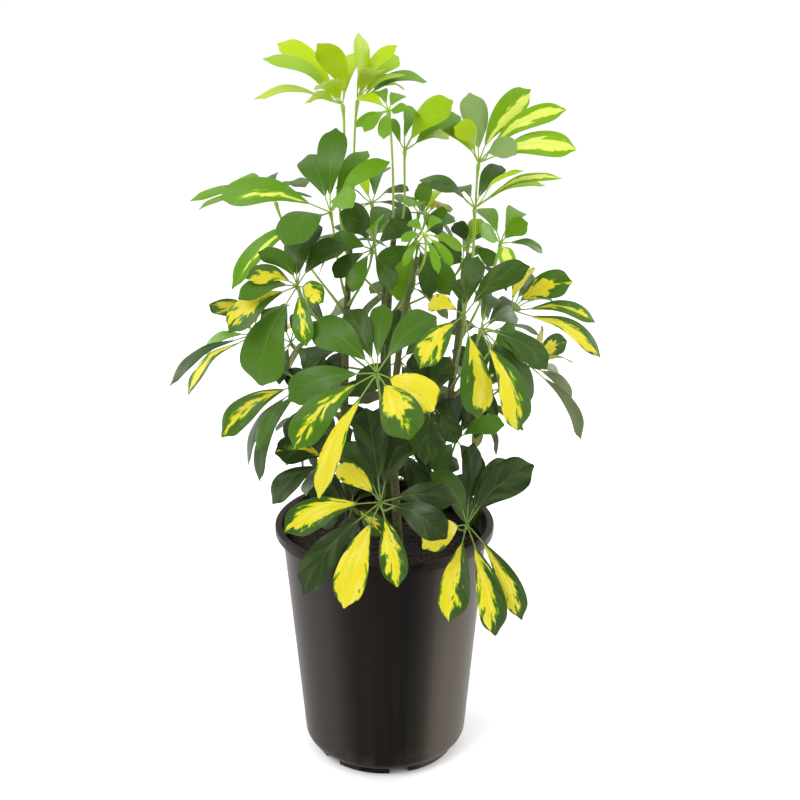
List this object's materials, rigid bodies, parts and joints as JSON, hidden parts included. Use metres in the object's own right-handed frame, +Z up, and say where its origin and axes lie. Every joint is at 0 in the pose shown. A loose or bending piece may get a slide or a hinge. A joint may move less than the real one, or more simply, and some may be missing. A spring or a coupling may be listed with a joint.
{
  "type": "potted umbrella plant",
  "caption": "Variegated umbrella plant in a tapered black nursery pot: woody stems bear long-stalked leaves, each a whorl of glossy green and yellow leaflets.",
  "frame": {"origin": "on the ground, under the centre of the pot", "axes": "+Z up along the pot's axis; -Y is the front, towards the viewer; +X is the viewer's right"},
  "size_m": [0.3755, 0.3557, 0.6609],
  "materials": {
    "pot_plastic": "satin black, injection moulded",
    "potting_soil": "dark crumbly peat and bark",
    "green_bark": "matte olive to brown bark with leaf scars",
    "green_leaf": "glossy, leathery dark green",
    "variegated_leaf": "glossy, leathery, dark green with yellow patches",
    "young_leaf": "soft gloss, bright yellow-green"
  },
  "bodies": {
    "root": {"leaf_back_crown": "green_leaf", "leaf_back_foot": "green_leaf", "leaf_back_high": "variegated_leaf", "leaf_back_left": "variegated_leaf", "leaf_back_left_high": "green_leaf", "leaf_back_left_low": "green_leaf", "leaf_back_low": "green_leaf", "leaf_back_middle": "variegated_leaf", "leaf_back_right": "green_leaf", "leaf_back_right_high": "green_leaf", "leaf_back_right_low": "variegated_leaf", "leaf_bud_middle": "young_leaf", "leaf_centre": "green_leaf", "leaf_centre_low": "green_leaf", "leaf_crown_middle": "young_leaf", "leaf_crown_right": "young_leaf", "leaf_crown_small": "young_leaf", "leaf_far_left": "green_leaf", "leaf_far_left_low": "variegated_leaf", "leaf_far_right": "variegated_leaf", "leaf_front_low": "variegated_leaf", "leaf_front_middle": "variegated_leaf", "leaf_front_right": "variegated_leaf", "leaf_inner_left": "green_leaf", "leaf_inner_left_low": "green_leaf", "leaf_inner_middle": "green_leaf", "leaf_inner_right": "green_leaf", "leaf_inner_right_low": "green_leaf", "leaf_left_behind": "green_leaf", "leaf_left_face": "variegated_leaf", "leaf_left_low": "variegated_leaf", "leaf_left_lowest": "green_leaf", "leaf_middle_back_high": "green_leaf", "leaf_middle_dark": "green_leaf", "leaf_middle_high": "green_leaf", "leaf_right_front": "variegated_leaf", "leaf_right_high": "green_leaf", "leaf_right_inner": "variegated_leaf", "leaf_right_low": "variegated_leaf", "leaf_right_lower": "green_leaf", "leaf_right_shoot": "green_leaf", "leaf_right_upper": "variegated_leaf", "leaf_top_left": "young_leaf", "leaf_top_right": "young_leaf", "leaf_upper_left": "variegated_leaf", "pot": "pot_plastic", "soil": "potting_soil", "stem_back": "green_bark", "stem_front": "green_bark", "stem_left": "green_bark", "stem_middle": "green_bark", "stem_right": "green_bark"}
  },
  "joints": []
}
